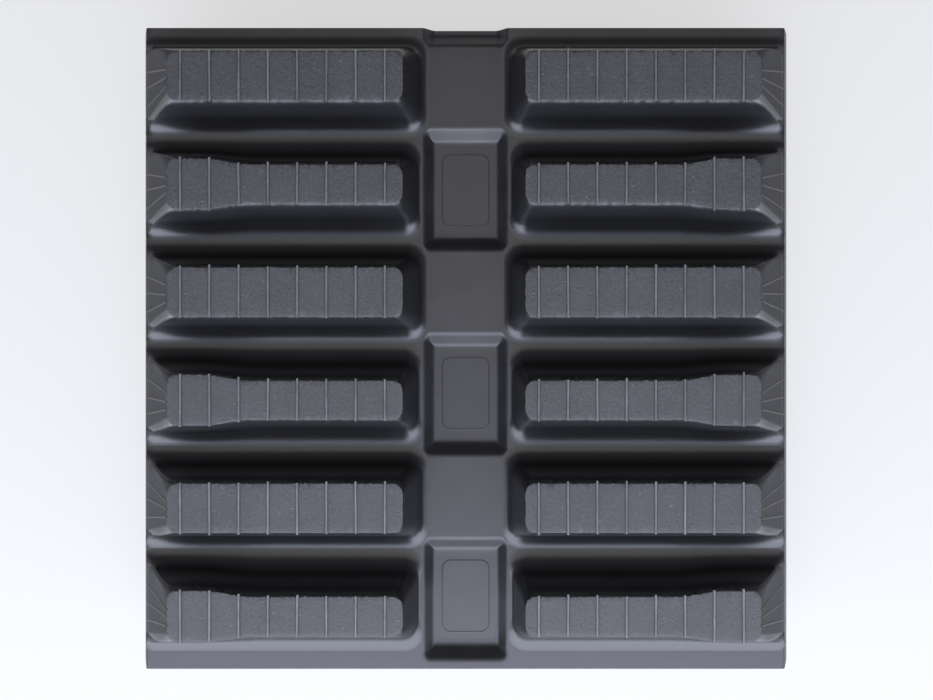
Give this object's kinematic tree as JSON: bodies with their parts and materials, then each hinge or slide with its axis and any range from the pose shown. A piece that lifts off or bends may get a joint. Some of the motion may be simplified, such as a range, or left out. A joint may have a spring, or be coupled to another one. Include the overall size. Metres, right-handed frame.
{
  "type": "rubber track section",
  "caption": "Straight section of a steel-cored rubber crawler track with tread lugs, blind sprocket windows and guide horns; it bends in the valleys between lug rows.",
  "frame": {"origin": "middle of the section on the plane that its guide horns' tips stand on", "axes": "+X across the track, +Y along it, +Z out of the tread"},
  "size_m": [0.32, 0.313, 0.077],
  "materials": {
    "tread_rubber": "satin black tread compound, dulled on the lug faces",
    "carcass_rubber": "semi-gloss moulded black rubber",
    "horn_rubber": "satin black rubber",
    "core_steel": "shot-blasted cast steel",
    "cord_steel": "brass-washed steel cord"
  },
  "bodies": {
    "row_1": {"carcass_1": "carcass_rubber", "steel_cords_1": "cord_steel", "lug_left_1": "tread_rubber", "lug_right_1": "tread_rubber", "steel_core_1": "core_steel", "horn_cover_left_1": "horn_rubber", "horn_cover_right_1": "horn_rubber", "flex_web_1": "carcass_rubber", "web_cords_1": "cord_steel"},
    "row_2": {"carcass_2": "carcass_rubber", "steel_cords_2": "cord_steel", "lug_left_2": "tread_rubber", "lug_right_2": "tread_rubber", "window_membrane_2": "carcass_rubber", "flex_web_2": "carcass_rubber", "web_cords_2": "cord_steel"},
    "row_3": {"carcass_3": "carcass_rubber", "steel_cords_3": "cord_steel", "lug_left_3": "tread_rubber", "lug_right_3": "tread_rubber", "steel_core_3": "core_steel", "horn_cover_left_3": "horn_rubber", "horn_cover_right_3": "horn_rubber"},
    "row_4": {"carcass_4": "carcass_rubber", "steel_cords_4": "cord_steel", "lug_left_4": "tread_rubber", "lug_right_4": "tread_rubber", "window_membrane_4": "carcass_rubber", "flex_web_3": "carcass_rubber", "web_cords_3": "cord_steel"},
    "row_5": {"carcass_5": "carcass_rubber", "steel_cords_5": "cord_steel", "lug_left_5": "tread_rubber", "lug_right_5": "tread_rubber", "steel_core_5": "core_steel", "horn_cover_left_5": "horn_rubber", "horn_cover_right_5": "horn_rubber", "flex_web_4": "carcass_rubber", "web_cords_4": "cord_steel"},
    "row_6": {"carcass_6": "carcass_rubber", "steel_cords_6": "cord_steel", "lug_left_6": "tread_rubber", "lug_right_6": "tread_rubber", "window_membrane_6": "carcass_rubber", "flex_web_5": "carcass_rubber", "web_cords_5": "cord_steel"}
  },
  "joints": [
    {"name": "flex_2", "type": "hinge", "parent": "row_3", "child": "row_2", "pos_m": [0, 0.0525, 0.042], "axis": [-1, 0, 0], "range_deg": [-8, 15], "stiffness_Nm_per_rad": 60, "deforming": ["flex_web_2", "web_cords_2"]},
    {"name": "flex_1", "type": "hinge", "parent": "row_2", "child": "row_1", "pos_m": [0, 0.1025, 0.042], "axis": [-1, 0, 0], "range_deg": [-8, 15], "stiffness_Nm_per_rad": 60, "deforming": ["flex_web_1", "web_cords_1"]},
    {"name": "flex_3", "type": "hinge", "parent": "row_3", "child": "row_4", "pos_m": [0, 0.0025, 0.042], "axis": [1, 0, 0], "range_deg": [-8, 15], "stiffness_Nm_per_rad": 60, "deforming": ["flex_web_3", "web_cords_3"]},
    {"name": "flex_4", "type": "hinge", "parent": "row_4", "child": "row_5", "pos_m": [0, -0.0475, 0.042], "axis": [1, 0, 0], "range_deg": [-8, 15], "stiffness_Nm_per_rad": 60, "deforming": ["flex_web_4", "web_cords_4"]},
    {"name": "flex_5", "type": "hinge", "parent": "row_5", "child": "row_6", "pos_m": [0, -0.0975, 0.042], "axis": [1, 0, 0], "range_deg": [-8, 15], "stiffness_Nm_per_rad": 60, "deforming": ["flex_web_5", "web_cords_5"]}
  ]
}
